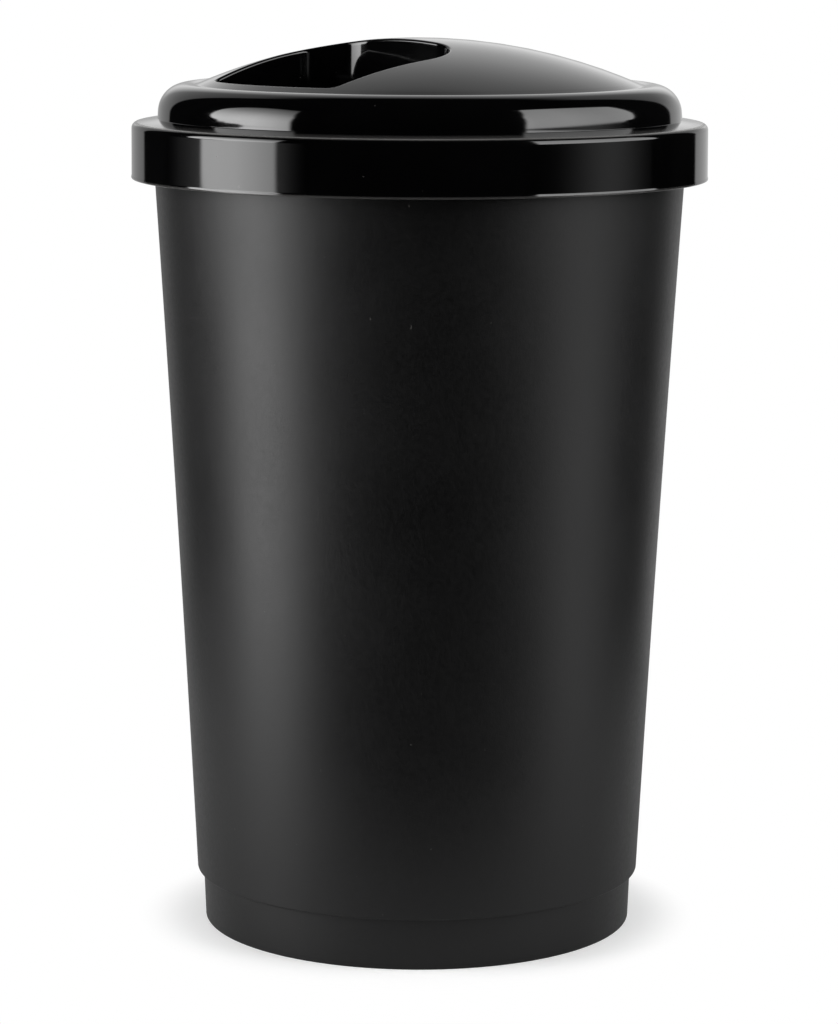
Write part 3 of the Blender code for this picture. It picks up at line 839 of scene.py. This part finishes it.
def left_outline(u, z):
    """A tall panel that leans in at its top right and has a wide round at its top left."""
    leaning_edge = 0.69 - 0.21 * np.maximum(z - 1.12, 0)
    round_top = 1.22 + np.sqrt(np.maximum(0.75**2 - np.minimum(u - 0.13, 0) ** 2, 0))
    return between(z, LEFT_LOW_EDGE), leaning_edge, round_top


def left_glow(u, z):
    """Hot low down and at the height of the lid, falling off steadily upwards and a little to the sides."""
    return between(u, LEFT_ACROSS) * between(z, LEFT_UP)


def left_spill(u, z):
    """A halo on both sides of a band of its lower half, which falls off by a factor e every quarter of a metre
    and ends over the last third of a metre of the grid."""
    beside = np.maximum(np.maximum(HALO_EDGES[0] - u, u - HALO_EDGES[1]), 0)
    fade = np.clip((1.15 - np.abs(u)) / 0.35, 0, 1)
    return 0.50 * np.exp(-beside / 0.25) * fade * ((z > HALO_HEIGHTS[0]) & (z < HALO_HEIGHTS[1]))


def right_outline(u, z):
    """A wider panel with its lower edge at the height of the lid, whose top slopes down away from the camera."""
    leaning_edge = np.where(z < 1.45, -0.995 + 0.082 * (z - 0.6), -0.925 + 0.30 * (z - 1.45))
    return leaning_edge, between(z, RIGHT_HIGH_EDGE), 2.57 - 0.51 * np.maximum(u + 0.5, 0)


def right_glow(u, z):
    """Brightest on the side of the camera and even in height down to its lower edge. Below that it is a faint
    light that widens into a hot spot near the table."""
    faint = between(z, RIGHT_FAINT) * np.exp(-((u + 0.05) / 0.42) ** 2)
    share = np.clip((z - 0.625) / 0.03, 0, 1)
    return share * between(u, RIGHT_ACROSS) * between(z, RIGHT_UP) + (1 - share) * faint


def no_spill(u, z):
    """Dark all round."""
    return 0 * u


def lamp_below():
    """A lit disc under the table, seen only through it: a ring of points round one middle point."""
    ring = turned_points(np.array([[LAMP_RADIUS, LAMP_HEIGHT]]), full_turn(LAMP_COLUMNS)).reshape(-1, 3)
    points = np.concatenate([ring, [[0, 0, LAMP_HEIGHT]]])
    faces = fan(LAMP_COLUMNS, np.arange(LAMP_COLUMNS)).tolist()
    lamp = studio_piece("lamp_below", points, faces, plain_light("lamp_below", LAMP_STRENGTH))
    lamp.visible_camera = False


def studio_world():
    """White for the camera. In reflections a white sheet stands behind the bin, up to some fifty degrees, in
    a dark room. Diffuse light gets a soft grey from all round."""
    world = bpy.data.worlds.new("studio")
    bpy.context.scene.world = world
    tree = empty_tree(world)

    def soft_step(value, low, high):
        return ramp(tree, value, low, high, kind="SMOOTHSTEP")

    def soft_end(value, low, high):
        return maths(tree, "SUBTRACT", 1, soft_step(value, low, high))

    path = tree.nodes.new("ShaderNodeLightPath")
    direction = tree.nodes.new("ShaderNodeTexCoord").outputs["Generated"]
    behind = vector_maths(tree, "DOT_PRODUCT", "Value", direction, FROM_THE_CAMERA)
    right = vector_maths(tree, "DOT_PRODUCT", "Value", direction, TO_ITS_RIGHT)
    upwards = vector_maths(tree, "DOT_PRODUCT", "Value", direction, (0, 0, 1))
    level_squared = maths(tree, "SUBTRACT", 1.0001, maths(tree, "MULTIPLY", upwards, upwards))
    level = maths(tree, "POWER", level_squared, 0.5)
    facing = maths(tree, "DIVIDE", behind, level)
    low_right = maths(tree, "MULTIPLY", soft_step(right, -0.1, 0.3), SHEET_LOW_RIGHT_EXTRA)
    low_extra = maths(tree, "MULTIPLY", soft_end(upwards, 0.05, 0.42), maths(tree, "ADD", SHEET_LOW_EXTRA, low_right))
    tone = maths(tree, "ADD", SHEET_GREY, low_extra)
    sheet = maths(tree, "MULTIPLY", soft_step(facing, 0.77, 0.80), soft_end(upwards, 0.70, 0.86), tone)
    middle = maths(tree, "MULTIPLY", soft_step(facing, 0.94, 0.995), soft_step(upwards, 0.03, 0.14))
    middle = maths(tree, "MULTIPLY", middle, soft_end(upwards, 0.38, 0.90), SHEET_MIDDLE_EXTRA)
    seen = maths(tree, "ADD", sheet, middle, ROOM_GREY)
    glossy = maths(tree, "MULTIPLY", path.outputs["Is Glossy Ray"], seen)
    diffuse = maths(tree, "MULTIPLY", path.outputs["Is Diffuse Ray"], DIFFUSE_GREY)
    total = maths(tree, "ADD", glossy, diffuse, path.outputs["Is Camera Ray"])
    light = fed(tree, tree.nodes.new("ShaderNodeBackground"), {"Color": (1, 1, 1, 1), "Strength": total})
    end_in(tree, "ShaderNodeOutputWorld", light.outputs["Background"])


table_top()
softbox("left_softbox", LEFT_AZIMUTH, left_outline, left_glow, left_spill)
softbox("right_softbox", RIGHT_AZIMUTH, right_outline, right_glow, no_spill)
lamp_below()
studio_world()
bpy.context.scene.view_settings.view_transform = "Standard"
